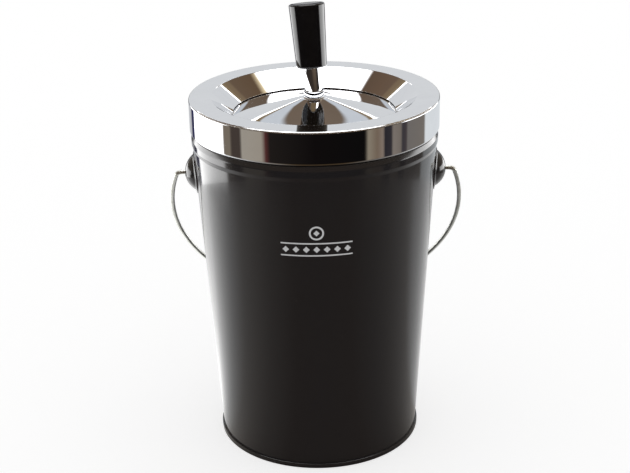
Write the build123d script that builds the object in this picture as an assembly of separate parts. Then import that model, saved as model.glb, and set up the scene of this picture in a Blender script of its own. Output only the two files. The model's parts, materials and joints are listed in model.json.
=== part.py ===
"""Ashtray bin: a push-down spinning ashtray lid on a tapered tin bucket with a wire handle.

Millimetres. +Z is up and is the bucket's axis, the front faces -Y, and the origin is on the
axis in the plane that the bucket stands on.
"""
from build123d import *
from math import asin, atan, atan2, cos, degrees, radians, sin, sqrt, tan
import os

os.makedirs("parts", exist_ok=True)

# --- driving dimensions ---------------------------------------------------------------
LID_R = 80.0              # outside of the lid's skirt
WALL_H = 203.5            # floor to the top of the bucket's straight wall
FOOT_R = 66.4             # outside of the wall, carried down to the floor
RING_W = 14.2             # flat ring on top of the lid
FUNNEL_W = 13.8           # funnel, measured across
FUNNEL_D = 11.0           # funnel, measured down
PLATE_SLOPE = 9.5         # degrees, the plate's outer part
HUB_SLOPE = 16.0          # degrees, the plate's rise to its hub
PRESS = 14.0              # how far the knob goes down
PIVOT_DROP = 29.7         # handle pivot below the bucket's shoulder
STEM_LEAN = 8.4           # degrees, the stem at rest in its play
LEAN_TO = 63.0            # degrees round from -X to +Y, the way it leans

# --- bucket -----------------------------------------------------------------------------
SHELL_T = 0.6             # bucket sheet
BAND_H = 10.0             # rolled band above the straight wall
BAND_OUT = 0.9            # how far the band stands out
SHOULDER_IN = 1.3         # step from the band in to the neck
SEAM_H = 3.2              # folded seam at the foot
SEAM_FOLD = 1.15          # folded layers outside the wall
BASE_RECESS = 3.0         # base panel above the floor
CURL_R = 1.2              # curled rim
CURL_OUT = 0.8            # how far the curl stands outside the neck
RIM_BELOW_TOP = 4.9       # centre of the curl below the lid's top

# --- ears and handle --------------------------------------------------------------------
EAR_R = 12.5              # dome at its base
EAR_H = 7.6               # dome above the wall
EAR_FLANGE_R = 14.0
EAR_T = 0.8
WIRE_R = 1.4
WIRE_CLEAR = 0.1          # wire in the ear's hole
HEAD_R = 2.4              # upset head on the wire's end
HEAD_T = 1.2
HEAD_GAP = 1.2            # head to bucket wall
BEND_R = 4.5              # corner of the handle beside the ear
SIDE_ROOM = 11.05         # handle's widest point, outside the ear's top
SIDE_DROP = 36.0          # handle's widest point, from the pivot
OVER_KNOB = 30.7          # handle's loop beyond the knob's top
REST_GAP = 0.3            # handle to bucket where it rests

# --- lid --------------------------------------------------------------------------------
LID_T = 0.6
LID_H = 21.2              # skirt
LID_EDGE_R = 1.2          # outside corner of the skirt and the ring
HEM_W = 1.6               # folded hem of the skirt
HEM_H = 3.4
SEAT_GAP = 0.4            # hem to the bucket's shoulder
RIM_CLEAR = 0.4           # hem to the curled rim
BRIDGE_T = 1.2
BRIDGE_W = 14.0
LEG_GAP = 2.0             # plate's edge to the bridge's leg
TAB_LEN = 7.6             # bridge's tab on the funnel, measured across
BRIDGE_BEND = 2.0

# --- plate and hub ------------------------------------------------------------------------
PLATE_T = 0.5
PLATE_LAP = 1.2           # plate under the funnel's lip
FLARE_R = 30.0            # where the two slopes meet
FLARE_BEND = 220.0        # long curve that joins them
SEAL_GAP = 0.4
HUB_LEDGE = 1.5           # plate's flat hub outside the collar
COLLAR_T = 0.50           # collar's wall
COLLAR_H = 4.6
COLLAR_FLOOR = 1.0
SPIGOT_T = 1.18           # spigot's wall, round the bar's hole
SPIGOT_IN = 1.2           # spigot into the drive nut
NUT_IN = 1.0              # nut's edge inside the plate's flat hub
NUT_T = 3.0
FACE_GAP = 0.1            # between flat faces that turn on each other
WASHER_T = 0.8

# --- stem and knob --------------------------------------------------------------------------
TUBE_R = 5.5
TUBE_T = 1.0
TUBE_PLAY = 0.08          # tube in the collar's mouth at full lean
FOOT_GAP = 0.9            # foot above the collar's floor, so that it can lean
FOOT_L = 5.0
KNOB_LIFT = 17.1          # foot of the stem to the knob
KNOB_IN = 10.0            # tube inside the knob
KNOB_L = 40.0
KNOB_LOW_R = 9.7
KNOB_TOP_R = 11.35
KNOB_EDGE = 1.0
KNOB_DISH = 0.5
PLUG_L = 8.0
STUD_R = 2.5
STUD_L = 10.0

# --- spindle and spring -------------------------------------------------------------------
BAR_W = 5.0               # twisted flat bar
BAR_T = 1.2
LEAD = 28.0               # height of one full twist
BAR_CLEAR = 0.15          # bar in the nut's slot
BAR_TIP_GAP = 6.5         # bar's tip to the stem's plug, with the knob down
BORE_CLEAR = 0.85         # holes that the bar only passes through
BOSS_OUT = 0.83           # boss outside the bar's corners
BOSS_H = 1.5
TAIL_R = 2.0
TAIL_OUT = 1.5            # tail below its nut
M_NUT_AF = 7.0
M_NUT_H = 3.2
M_WASHER_R = 4.5
M_WASHER_T = 0.8
SPRING_R = 6.4            # to the middle of the wire
SPRING_WIRE_R = 0.6
SPRING_COILS = 8
SPRING_SPARE = 9.4        # height left between its turns, with the knob down
CUP_T = 1.0
CUP_LIP = 3.0
CUP_PLAY = 0.5            # spring inside its cups

# --- heights and radii worked out from those -------------------------------------------------
SHOULDER_Z = WALL_H + BAND_H
HEM_Z = SHOULDER_Z + SEAT_GAP
TOP_Z = HEM_Z + LID_H
RIM_Z = TOP_Z - RIM_BELOW_TOP
FUNNEL_R = LID_R - RING_W
DISH_R = FUNNEL_R - FUNNEL_W
LIP_Z = TOP_Z - FUNNEL_D
FUNNEL_A = atan2(FUNNEL_D, FUNNEL_W)
CURL_C = LID_R - HEM_W - RIM_CLEAR - CURL_R
NECK_R = CURL_C + CURL_R - CURL_OUT
WALL_TOP_R = NECK_R + SHOULDER_IN
TAPER = (WALL_TOP_R - FOOT_R) / WALL_H
PIVOT_Z = SHOULDER_Z - PIVOT_DROP

LEAN = radians(STEM_LEAN)
COLLAR_BORE = TUBE_R / cos(LEAN) + (COLLAR_H - COLLAR_FLOOR - FOOT_GAP) * tan(LEAN) + TUBE_PLAY
COLLAR_R = COLLAR_BORE + COLLAR_T
HUB_FLAT_R = COLLAR_R + HUB_LEDGE
SLOPE = radians(PLATE_SLOPE)
RISE = radians(HUB_SLOPE)
LIP_UNDER_R = DISH_R + LID_T * sin(FUNNEL_A)
LIP_UNDER_Z = LIP_Z - LID_T * cos(FUNNEL_A)
PLATE_R = DISH_R + PLATE_LAP
FLARE_Z = LIP_UNDER_Z - SEAL_GAP + (LIP_UNDER_R - FLARE_R) * tan(SLOPE)
HUB_Z = FLARE_Z + (FLARE_R - HUB_FLAT_R) * tan(RISE)
NUT_R = HUB_FLAT_R - NUT_IN
NUT_TOP = HUB_Z - PLATE_T
NUT_BOTTOM = NUT_TOP - NUT_T
WASHER_TOP = NUT_BOTTOM - FACE_GAP
CAP_TOP = WASHER_TOP - WASHER_T
SPRING_TOP = CAP_TOP - CUP_T
SPRING_L = 2 * SPRING_WIRE_R * SPRING_COILS + PRESS + SPRING_SPARE
SPRING_BOTTOM = SPRING_TOP - SPRING_L
BRIDGE_TOP = SPRING_BOTTOM - CUP_T
BRIDGE_BOTTOM = BRIDGE_TOP - BRIDGE_T
M_WASHER_BOTTOM = BRIDGE_BOTTOM - M_WASHER_T
M_NUT_BOTTOM = M_WASHER_BOTTOM - M_NUT_H
TAIL_BOTTOM = M_NUT_BOTTOM - TAIL_OUT
BAR_HALF = sqrt(BAR_W ** 2 + BAR_T ** 2) / 2
BORE_R = BAR_HALF + BORE_CLEAR
SPIGOT_R = BORE_R + SPIGOT_T
BOSS_R = BAR_HALF + BOSS_OUT
CUP_R = SPRING_R + SPRING_WIRE_R + CUP_PLAY
LEG_R = PLATE_R + LEG_GAP

STEM_Z = HUB_Z + COLLAR_FLOOR + FOOT_GAP
PLUG_BOTTOM = KNOB_LIFT + KNOB_IN - PLUG_L
BAR_TOP = STEM_Z + PLUG_BOTTOM * cos(LEAN) - PRESS - BAR_TIP_GAP
KNOB_TOP_Z = STEM_Z + (KNOB_LIFT + KNOB_L) * cos(LEAN)


def wall_r(z):
    """Outside radius of the bucket's straight wall at a height."""
    return FOOT_R + TAPER * z


EAR_TOP_X = wall_r(PIVOT_Z) + EAR_H
BAIL_W = EAR_TOP_X + SIDE_ROOM
BAIL_L = KNOB_TOP_Z - PIVOT_Z + OVER_KNOB
# below its widest point the loop is half an oval, drawn as arcs
OVAL_H = BAIL_L - SIDE_DROP
SIDE_R = OVAL_H ** 2 / BAIL_W
# the loop leans back until its lowest point rests on the tapered wall
BAIL_TILT = asin((wall_r(PIVOT_Z) + WIRE_R / cos(atan(TAPER)) + REST_GAP)
                 / (BAIL_L * sqrt(1 + TAPER ** 2))) - atan(TAPER)


# --- helpers ----------------------------------------------------------------------------------
def sheet(points, radii, thickness, side):
    """Face of a bent sheet: a filleted path on the XZ plane, thickened to one side."""
    path = FilletPolyline(*[(x, y) for x, y in points], radius=radii)
    return make_face(offset(path, thickness, side=side, closed=True))


def turned(face):
    """Solid of revolution about Z from a face drawn as (radius, height)."""
    return revolve(Plane.XZ * face, Axis.Z)


def outline(points):
    """Face inside a closed outline of (radius, height) points."""
    return make_face(Polyline(*points, close=True))


def ring(inner, outer, low, high):
    """Plain ring round Z between two heights; an inner radius of 0 gives a disc."""
    body = Cylinder(outer, high - low)
    if inner > 0:
        body -= Cylinder(inner, high - low)
    return Pos(0, 0, (low + high) / 2) * body


def twisted_bar(width, thickness, low, high):
    """Flat bar twisted about Z, with its phase set by the height alone."""
    section = Rot(0, 0, 360 * low / LEAD) * Rectangle(width, thickness)
    face = Pos(0, 0, low) * section
    return Solid.extrude_linear_with_rotation(
        face.face(), (0, 0, low), (0, 0, high - low), 360 * (high - low) / LEAD)


def circles(body, radius):
    """Circular edges of one radius, lowest first."""
    edges = body.edges().filter_by(GeomType.CIRCLE)
    return edges.filter_by(lambda edge: abs(edge.radius - radius) < 1e-3).sort_by(Axis.Z)


def save(name, body):
    """Write one sub-part."""
    body.label = name
    export_step(body, f"parts/{name}.step")


# --- bucket --------------------------------------------------------------------------------
def bucket_shell():
    band_r = WALL_TOP_R + BAND_OUT
    path = [
        (wall_r(SHELL_T), SHELL_T),
        (WALL_TOP_R, WALL_H),
        (band_r - 0.1, WALL_H + 0.25 * BAND_H),
        (band_r, WALL_H + 0.65 * BAND_H),
        (WALL_TOP_R, SHOULDER_Z),
        (NECK_R, SHOULDER_Z),
        (NECK_R, RIM_Z),
    ]
    wall = turned(sheet(path, [2.0, 1.5, 3.0, 0.8, 0.5], SHELL_T, Side.LEFT))
    curl = Pos(0, 0, RIM_Z) * Torus(CURL_C, CURL_R)
    return wall + curl


def bucket_base():
    pan_r = wall_r(SHELL_T) - SHELL_T - SHELL_T
    lip_in = wall_r(SEAM_H)
    lip_out = lip_in + SEAM_FOLD
    path = [
        (0, BASE_RECESS),
        (pan_r, BASE_RECESS),
        (pan_r, 0),
        (lip_out - SEAM_FOLD / 2, 0),
    ]
    pan = turned(sheet(path, [0.9, 0.3], SHELL_T, Side.LEFT))
    lip = ring(lip_in, lip_out, 0, SEAM_H)
    return pan + fillet(circles(lip, lip_out), SEAM_FOLD * 0.45)


def ear_on_right():
    """Domed ear with a flange that follows the wall, made on the +X side."""
    sphere_r = (EAR_R ** 2 + EAR_H ** 2) / (2 * EAR_H)
    centre_x = EAR_TOP_X - sphere_r
    place = Pos(centre_x, 0, PIVOT_Z)
    wall = Pos(0, 0, WALL_H / 2) * Cone(FOOT_R, WALL_TOP_R, WALL_H)
    thick_wall = Pos(0, 0, WALL_H / 2) * Cone(FOOT_R + EAR_T, WALL_TOP_R + EAR_T, WALL_H)
    flange_bar = Pos(wall_r(PIVOT_Z), 0, PIVOT_Z) * Rot(0, 90, 0) * Cylinder(EAR_FLANGE_R, 2 * EAR_H)
    flange = thick_wall & flange_bar
    ear = flange + place * Sphere(sphere_r) & flange_bar
    hole = Pos(EAR_TOP_X, 0, PIVOT_Z) * Rot(0, 90, 0) * Cylinder(WIRE_R + WIRE_CLEAR, EAR_H)
    return ear - place * Sphere(sphere_r - EAR_T) - wall - hole


# --- handle -----------------------------------------------------------------------------------
def bail_handle():
    """Wire loop in its own plane: x across, y up, pivot line at y = 0."""
    head_x = wall_r(PIVOT_Z) + HEAD_GAP
    side_c = Vector(BAIL_W - SIDE_R, -SIDE_DROP)
    # lower curve: centred on the middle line, tangent to both side curves
    low_r = (SIDE_R ** 2 - OVAL_H ** 2 - side_c.X ** 2) / (2 * (SIDE_R - OVAL_H))
    low_c = Vector(0, low_r - BAIL_L)
    # corner curve: tangent to the pivot line and to the side curve
    bend_y = -BEND_R
    bend_x = side_c.X + sqrt((SIDE_R - BEND_R) ** 2 - (bend_y - side_c.Y) ** 2)
    turn_top = degrees(atan2(bend_y - side_c.Y, bend_x - side_c.X))
    to_join = low_c - side_c if low_r < SIDE_R else side_c - low_c
    turn_low = degrees(atan2(to_join.Y, to_join.X))
    right = [
        Line((head_x, 0), (bend_x, 0)),
        CenterArc((bend_x, bend_y), BEND_R, 90, turn_top - 90),
        CenterArc((side_c.X, side_c.Y), SIDE_R, turn_top, turn_low - turn_top),
    ]
    low = CenterArc((low_c.X, low_c.Y), low_r, turn_low, -180 - 2 * turn_low)
    left = [mirror(piece, Plane.YZ) for piece in reversed(right)]
    loop_plane = Plane((0, 0, PIVOT_Z), x_dir=(1, 0, 0),
                       z_dir=(0, -cos(BAIL_TILT), -sin(BAIL_TILT)))
    path = loop_plane * Wire([piece.edge() for piece in (*right, low, *left)])
    section = Plane((head_x, 0, PIVOT_Z), z_dir=(1, 0, 0)) * Circle(WIRE_R)
    wire = sweep(section, path=path)
    for side in (1, -1):
        head = Pos(side * (head_x + HEAD_T / 2), 0, PIVOT_Z) * Rot(0, 90, 0)
        wire += head * Cylinder(HEAD_R, HEAD_T)
    print("handle: tilt", round(degrees(BAIL_TILT), 2), "loop", round(BAIL_L, 1),
          "curves", round(SIDE_R, 1), round(low_r, 1))
    return wire


# --- lid ----------------------------------------------------------------------------------------
def lid_shell():
    path = [
        (DISH_R, LIP_Z),
        (FUNNEL_R, TOP_Z),
        (LID_R, TOP_Z),
        (LID_R, HEM_Z + HEM_H / 2),
    ]
    shell = turned(sheet(path, [1.0, LID_EDGE_R], LID_T, Side.RIGHT))
    hem = ring(LID_R - HEM_W, LID_R, HEM_Z, HEM_Z + HEM_H)
    return shell + fillet(circles(hem, LID_R)[0], HEM_W * 0.95)


def above_underside():
    """Everything above the underside of the funnel and the ring, as a cutting body."""
    under = LID_T / cos(FUNNEL_A)
    slack = 2 * LID_H
    return turned(outline([
        (DISH_R, LIP_Z - under),
        (FUNNEL_R + (under - LID_T) / tan(FUNNEL_A), TOP_Z - LID_T),
        (LID_R, TOP_Z - LID_T),
        (LID_R, TOP_Z + slack),
        (DISH_R, TOP_Z + slack),
    ]))


def bridge_strap():
    """U-shaped strap: two tabs on the funnel's underside, two legs, and a cross piece."""
    def under_z(r):
        return LIP_Z - LID_T / cos(FUNNEL_A) + (r - DISH_R) * tan(FUNNEL_A)

    tab_r = LEG_R + TAB_LEN
    thick = BRIDGE_T / cos(FUNNEL_A)
    half = [
        (0, BRIDGE_BOTTOM),
        (LEG_R + BRIDGE_T, BRIDGE_BOTTOM),
        (LEG_R + BRIDGE_T, under_z(LEG_R + BRIDGE_T) - thick),
        (tab_r, under_z(tab_r) - thick),
        (tab_r, under_z(tab_r) + BRIDGE_T),
        (LEG_R, under_z(LEG_R) + BRIDGE_T),
        (LEG_R, BRIDGE_TOP),
        (0, BRIDGE_TOP),
    ]
    profile = outline(half)
    strap = Pos(0, BRIDGE_W / 2, 0) * extrude(Plane.XZ * (profile + mirror(profile, Plane.YZ)), BRIDGE_W)
    outer_bends = strap.edges().filter_by(Axis.Y).filter_by(
        lambda edge: abs(abs(edge.center().X) - LEG_R - BRIDGE_T) < 1e-3
        and abs(edge.center().Z - BRIDGE_BOTTOM) < 1e-3)
    strap = fillet(outer_bends, BRIDGE_BEND + BRIDGE_T)
    inner_bends = strap.edges().filter_by(Axis.Y).filter_by(
        lambda edge: abs(abs(edge.center().X) - LEG_R) < 1e-3
        and abs(edge.center().Z - BRIDGE_TOP) < 1e-3)
    strap = fillet(inner_bends, BRIDGE_BEND)
    return strap - above_underside() - ring(0, TAIL_R, BRIDGE_BOTTOM, BRIDGE_TOP)


def twist_spindle():
    """Twisted flat bar with a round boss and a tail that its nut holds in the bridge."""
    boss_top = BRIDGE_TOP + BOSS_H
    bar = twisted_bar(BAR_W, BAR_T, boss_top, BAR_TOP)
    boss = ring(0, BOSS_R, BRIDGE_TOP, boss_top)
    tail = ring(0, TAIL_R, TAIL_BOTTOM, BRIDGE_TOP)
    return boss + tail + bar


def spindle_nut():
    blank = extrude(RegularPolygon(M_NUT_AF / 2, 6, major_radius=False), M_NUT_H)
    return Pos(0, 0, M_NUT_BOTTOM) * blank - ring(0, TAIL_R, M_NUT_BOTTOM, M_WASHER_BOTTOM)


def spindle_washer():
    return ring(TAIL_R, M_WASHER_R, M_WASHER_BOTTOM, BRIDGE_BOTTOM)


def spring_seat():
    """Cup that stands on the bridge, round the spindle's boss."""
    floor_ring = ring(BOSS_R, CUP_R + CUP_T, BRIDGE_TOP, SPRING_BOTTOM)
    return floor_ring + ring(CUP_R, CUP_R + CUP_T, BRIDGE_TOP, SPRING_BOTTOM + CUP_LIP)


# --- what the knob presses down ---------------------------------------------------------------------
def return_spring():
    height = SPRING_L - 2 * SPRING_WIRE_R
    coil = Helix(height / SPRING_COILS, height, SPRING_R, center=(0, 0, SPRING_BOTTOM + SPRING_WIRE_R))
    section = Plane(coil @ 0, z_dir=coil % 0) * Circle(SPRING_WIRE_R)
    return sweep(section, path=coil, is_frenet=True)


def spring_cap():
    top = ring(BORE_R, CUP_R + CUP_T, SPRING_TOP, CAP_TOP)
    return top + ring(CUP_R, CUP_R + CUP_T, SPRING_TOP - CUP_LIP, CAP_TOP)


def thrust_washer():
    return ring(BORE_R, NUT_R, CAP_TOP, WASHER_TOP)


def drive_nut():
    """Nut with a twisted slot that the bar turns, and a pocket for the collar's spigot."""
    blank = ring(0, NUT_R, NUT_BOTTOM, NUT_TOP) - ring(0, SPIGOT_R, NUT_TOP - SPIGOT_IN, NUT_TOP)
    slot = twisted_bar(BAR_W + 2 * BAR_CLEAR, BAR_T + 2 * BAR_CLEAR, NUT_BOTTOM - 1, NUT_TOP)
    return blank - slot


def spinner_plate():
    rim_z = FLARE_Z - (PLATE_R - FLARE_R) * tan(SLOPE)
    path = [(SPIGOT_R, HUB_Z), (HUB_FLAT_R, HUB_Z), (FLARE_R, FLARE_Z), (PLATE_R, rim_z)]
    return turned(sheet(path, [4.0, FLARE_BEND], PLATE_T, Side.RIGHT))


def hub_collar():
    wall = ring(COLLAR_BORE, COLLAR_R, HUB_Z, HUB_Z + COLLAR_H)
    wall = fillet(circles(wall, COLLAR_R)[-1], (COLLAR_R - COLLAR_BORE) * 0.6)
    floor_ring = ring(BORE_R, COLLAR_R, HUB_Z, HUB_Z + COLLAR_FLOOR)
    spigot = ring(BORE_R, SPIGOT_R, NUT_TOP - SPIGOT_IN, HUB_Z)
    return wall + floor_ring + spigot


# --- stem, drawn upright from its foot at z = 0 and then leaned -----------------------------------
def leaned(body):
    return Pos(0, 0, STEM_Z) * Rot(0, 0, -LEAN_TO) * Rot(0, -STEM_LEAN, 0) * body


def stem_tube():
    return leaned(ring(TUBE_R - TUBE_T, TUBE_R, 0, KNOB_LIFT + KNOB_IN))


def stem_foot():
    return leaned(ring(BORE_R, TUBE_R - TUBE_T, 0, FOOT_L))


def stem_plug():
    top = KNOB_LIFT + KNOB_IN
    plug = ring(0, TUBE_R - TUBE_T, PLUG_BOTTOM, top)
    return leaned(plug + ring(0, STUD_R, top, top + STUD_L))


def knob():
    dish_r = KNOB_TOP_R - 2 * KNOB_EDGE
    dish_ball = (dish_r ** 2 + KNOB_DISH ** 2) / (2 * KNOB_DISH)
    top = KNOB_LIFT + KNOB_L
    body = Pos(0, 0, KNOB_LIFT + KNOB_L / 2) * Cone(KNOB_LOW_R, KNOB_TOP_R, KNOB_L)
    body = fillet(body.edges().filter_by(GeomType.CIRCLE), KNOB_EDGE)
    body -= Pos(0, 0, top - KNOB_DISH + dish_ball) * Sphere(dish_ball)
    bore_top = KNOB_LIFT + KNOB_IN
    body -= ring(0, TUBE_R, KNOB_LIFT - KNOB_EDGE, bore_top)
    return leaned(body - ring(0, STUD_R, bore_top, bore_top + STUD_L))


right_ear = ear_on_right()
sub_parts = {
    "bucket_shell": bucket_shell(),
    "bucket_base": bucket_base(),
    "right_ear": right_ear,
    "left_ear": mirror(right_ear, Plane.YZ),
    "bail_handle": bail_handle(),
    "lid_shell": lid_shell(),
    "bridge_strap": bridge_strap(),
    "twist_spindle": twist_spindle(),
    "spindle_washer": spindle_washer(),
    "spindle_nut": spindle_nut(),
    "spring_seat": spring_seat(),
    "return_spring": return_spring(),
    "spring_cap": spring_cap(),
    "thrust_washer": thrust_washer(),
    "drive_nut": drive_nut(),
    "spinner_plate": spinner_plate(),
    "hub_collar": hub_collar(),
    "stem_tube": stem_tube(),
    "stem_foot": stem_foot(),
    "stem_plug": stem_plug(),
    "knob": knob(),
}
for name, body in sub_parts.items():
    save(name, body)
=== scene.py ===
# %% [markdown]
# # Ashtray bin
# A push-down ashtray lid on a tapered tin bucket. The lid, plate and stem are bright chrome on
# pressed steel, the bucket is black stoved enamel, and the handle is plain zinc wire. The model
# comes in from CAD as a fixed frame. Here each surface that shows is made again as a clean, finely
# divided mesh, because chrome shows every flat facet, and every piece gets its finish.

# %% Load the frame
import json
from math import asin, atan2, cos, degrees, hypot, pi, prod, radians, sin, sqrt, tan, tau

import bmesh
import bpy
from mathutils import Matrix, Vector


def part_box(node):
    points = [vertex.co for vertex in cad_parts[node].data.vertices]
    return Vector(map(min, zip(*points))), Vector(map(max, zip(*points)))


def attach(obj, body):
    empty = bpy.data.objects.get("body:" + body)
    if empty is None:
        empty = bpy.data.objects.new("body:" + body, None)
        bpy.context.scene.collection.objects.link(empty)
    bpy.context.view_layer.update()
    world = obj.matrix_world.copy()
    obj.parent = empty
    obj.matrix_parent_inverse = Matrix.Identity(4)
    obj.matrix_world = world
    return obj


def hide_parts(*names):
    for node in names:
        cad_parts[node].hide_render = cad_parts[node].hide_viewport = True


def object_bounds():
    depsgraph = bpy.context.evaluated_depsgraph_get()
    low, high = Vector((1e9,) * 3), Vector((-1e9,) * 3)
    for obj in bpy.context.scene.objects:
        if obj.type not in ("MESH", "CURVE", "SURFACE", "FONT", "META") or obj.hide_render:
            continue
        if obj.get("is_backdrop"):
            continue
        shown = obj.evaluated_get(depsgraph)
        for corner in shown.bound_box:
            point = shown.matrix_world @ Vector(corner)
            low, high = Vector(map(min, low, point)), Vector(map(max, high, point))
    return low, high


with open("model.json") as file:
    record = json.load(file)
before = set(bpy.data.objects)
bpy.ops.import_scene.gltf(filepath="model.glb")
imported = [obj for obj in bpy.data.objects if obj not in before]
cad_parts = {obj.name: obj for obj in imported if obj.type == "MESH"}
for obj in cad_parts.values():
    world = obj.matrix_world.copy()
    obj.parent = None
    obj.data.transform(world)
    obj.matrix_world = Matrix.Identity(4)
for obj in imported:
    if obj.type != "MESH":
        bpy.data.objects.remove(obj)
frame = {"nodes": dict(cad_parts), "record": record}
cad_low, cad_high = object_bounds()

MM = 0.001
print("CAD box in mm:", [round(size / MM, 1) for size in cad_high - cad_low])

# %% [markdown]
# ## Sizes
# The CAD nodes say how large everything is, so the script asks them and works in millimetres.
# Only what a box can't say, such as a sheet's gauge or a corner's radius, is written here.

# %% Sizes from the frame


def box_mm(node):
    low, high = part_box(node)
    return low / MM, high / MM


lid_low, lid_high = box_mm("lid_shell")
shell_high = box_mm("bucket_shell")[1]
plate_high = box_mm("spinner_plate")[1]
collar_low, collar_high = box_mm("hub_collar")
ear_low, ear_high = box_mm("right_ear")
LID_R, TOP_Z, HEM_Z = lid_high.x, lid_high.z, lid_low.z
BAND_R = shell_high.x
PLATE_R, HUB_Z = plate_high.x, plate_high.z
PIVOT_Z = (ear_low.z + ear_high.z) / 2
EAR_TOP_X = ear_high.x
print("lid radius", round(LID_R, 1), "top", round(TOP_Z, 1), "pivot", round(PIVOT_Z, 1))

# %% [markdown]
# ## Camera
# The bin is seen from a little above, with a longish lens, so that the ring and the plate show
# as flat ovals. The camera's turn is built from its pitch, a hair of yaw and a hair of roll.

# %% Camera
CAMERA_AT = Vector((0.0, -0.8540, 0.4863))
PITCH, YAW, ROLL = radians(22.26), radians(0.067), radians(-1.03)
LENS, SENSOR = 79.4, 36.0
camera_data = bpy.data.cameras.new("camera")
camera_data.lens = LENS
camera_data.sensor_width = SENSOR
camera = bpy.data.objects.new("camera", camera_data)
bpy.context.scene.collection.objects.link(camera)
turn = Matrix.Rotation(YAW, 4, "Z") @ Matrix.Rotation(pi / 2 - PITCH, 4, "X")
turn = turn @ Matrix.Rotation(ROLL, 4, "Z")
camera.matrix_world = Matrix.Translation(CAMERA_AT) @ turn
bpy.context.scene.camera = camera
print("camera looks down", round(degrees(PITCH), 1), "degrees")

# %% [markdown]
# ## Colours and nodes
# Colours are picked as sRGB hex values, and the shaders want linear light, so one function
# turns one into the other. One more function adds a node with its settings and links, and every
# finish below is written with it.

# %% Two helpers


def linear(hex_colour):
    """Linear RGBA from an sRGB colour such as #AABBCC."""
    parts = [int(hex_colour[i:i + 2], 16) / 255 for i in (1, 3, 5)]
    return [c / 12.92 if c <= 0.04045 else ((c + 0.055) / 1.055) ** 2.4 for c in parts] + [1.0]


def add(tree, kind, inputs=None, stops=None, **settings):
    """Add a node. inputs gives its sockets a value or a link; stops fill a ramp and may be boosted."""
    node = tree.nodes.new("ShaderNode" + kind)
    for name, value in settings.items():
        setattr(node, name, value)
    for socket, value in (inputs or {}).items():
        if isinstance(value, bpy.types.NodeSocket):
            tree.links.new(value, node.inputs[socket])
        else:
            node.inputs[socket].default_value = value
    ramp = node.color_ramp.elements if stops else []
    for i, (place, hex_colour, *boost) in enumerate(stops or []):
        step = ramp[i] if i < 2 else ramp.new(place)
        step.position = place
        step.color = [c * prod(boost) for c in linear(hex_colour)]
    return node


print("mid grey is", [round(c, 3) for c in linear("#808080")[:3]], "in linear light")

# %% [markdown]
# ## Surroundings
# Chrome has no colour of its own. What it shows is the room, so the room is what has to be right:
# a pale tent behind and above, a brown room beyond the gap in it, a dark side in front, white
# cards low to the left and right, and wooden furniture in stripes to both sides. One could hang
# lamps and cards, but a room painted on the sky by compass bearing and height is simpler. Only
# reflections see it. The camera sees plain white, and rough surfaces are lit by a soft dome.

# %% Bearing and height of each direction
world = bpy.data.worlds.new("studio")
bpy.context.scene.world = world
world.use_nodes = True
sky = world.node_tree
sky.nodes.clear()
look = add(sky, "SeparateXYZ", {0: add(sky, "TexCoord").outputs["Generated"]})
front = add(sky, "Math", {0: look.outputs["Y"], 1: -1.0}, operation="MULTIPLY")
bearing = add(sky, "Math", {0: look.outputs["X"], 1: front.outputs[0]}, operation="ARCTAN2")
height = add(sky, "Math", {0: look.outputs["Z"]}, operation="ARCSINE")


def on_ramp(degrees_from_front):
    """Place of a bearing on a ramp that runs once round the room, from behind to behind."""
    return 0.5 + degrees_from_front / 360


print("bearing 0 is in front and lies at", on_ramp(0), "on a ramp")

# %% Painted room
# Each list goes round the room by bearing: minus is left, plus is right, 180 is behind. A third
# number makes that stop brighter than paper white, as a lit card is.
LAMP = 4.0
below = [
    (-180, "#DCE0E4"), (-153, "#BBBBBE"), (-151, "#3A3A58"), (-143, "#3A3A58"),
    (-141, "#FFFFFF", LAMP), (-93, "#FFFFFF", LAMP),
    (-91, "#7A7063"), (-83, "#7A7063"), (-81, "#463D38"), (-71, "#463D38"),
    (-69, "#A39C90"), (-49, "#A0978A"), (-45, "#55302E"), (-41, "#211D1B"),
    (0, "#110E0E"), (46, "#0E0D0D"), (49, "#8E8474"), (58, "#786859"),
    (64, "#897B70"), (66, "#2D2B30"), (73, "#343135"), (75, "#837A72"),
    (84, "#776E66"), (86, "#3C393D"), (91, "#463F40"), (93, "#746F6B"),
    (118, "#7A736C"), (121, "#E4E8EA"), (180, "#DCE0E4"),
]
cards = [
    (-180, "#4A494C"), (-150, "#4A494C"), (-140, "#FFFFFF", LAMP), (-88, "#FFFFFF", LAMP),
    (-82, "#2E2A28"), (0, "#3A322B"), (82, "#2E2A28"), (88, "#FFFFFF", LAMP),
    (140, "#FFFFFF", LAMP), (150, "#4A494C"), (180, "#4A494C"),
]
level = [
    (-180, "#DDDFE1"), (-146, "#DDDFE1"), (-143, "#A89E92"), (-120, "#A89E92"),
    (-90, "#8C8276"), (-50, "#7A6A58"), (0, "#655548"), (50, "#7A6A58"),
    (90, "#8C8276"), (120, "#A89E92"), (143, "#A89E92"), (146, "#DDDFE1"), (180, "#DDDFE1"),
]
cloth = [
    (-180, "#D0D5DB"), (-160, "#D0D5DB"), (-156, "#8C7A60"), (-120, "#6B5747"), (-90, "#4E4238"),
    (0, "#2E2A28"), (90, "#4E4238"), (120, "#6B5747"), (156, "#8C7A60"), (160, "#D0D5DB"), (180, "#D0D5DB"),
]
gap = [
    (-180, "#77695C"), (-130, "#6B5747"), (-90, "#4E4238"), (0, "#2E2A28"),
    (90, "#4E4238"), (104, "#6B5747"), (108, "#FBEBCF"), (118, "#F2DDB4"),
    (122, "#66523F"), (180, "#77695C"),
]


def painted(tree, angle, stops):
    """Colour that goes round by bearing; angle is in radians from the front."""
    placed = [(on_ramp(stop[0]), *stop[1:]) for stop in stops]
    ends = [placed[0], placed[-1], *placed[1:-1]]
    share = add(tree, "MapRange", {0: angle, 1: -pi, 2: pi, 3: 0.0, 4: 1.0})
    return add(tree, "ValToRGB", {0: share.outputs[0]}, stops=ends).outputs[0]


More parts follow.
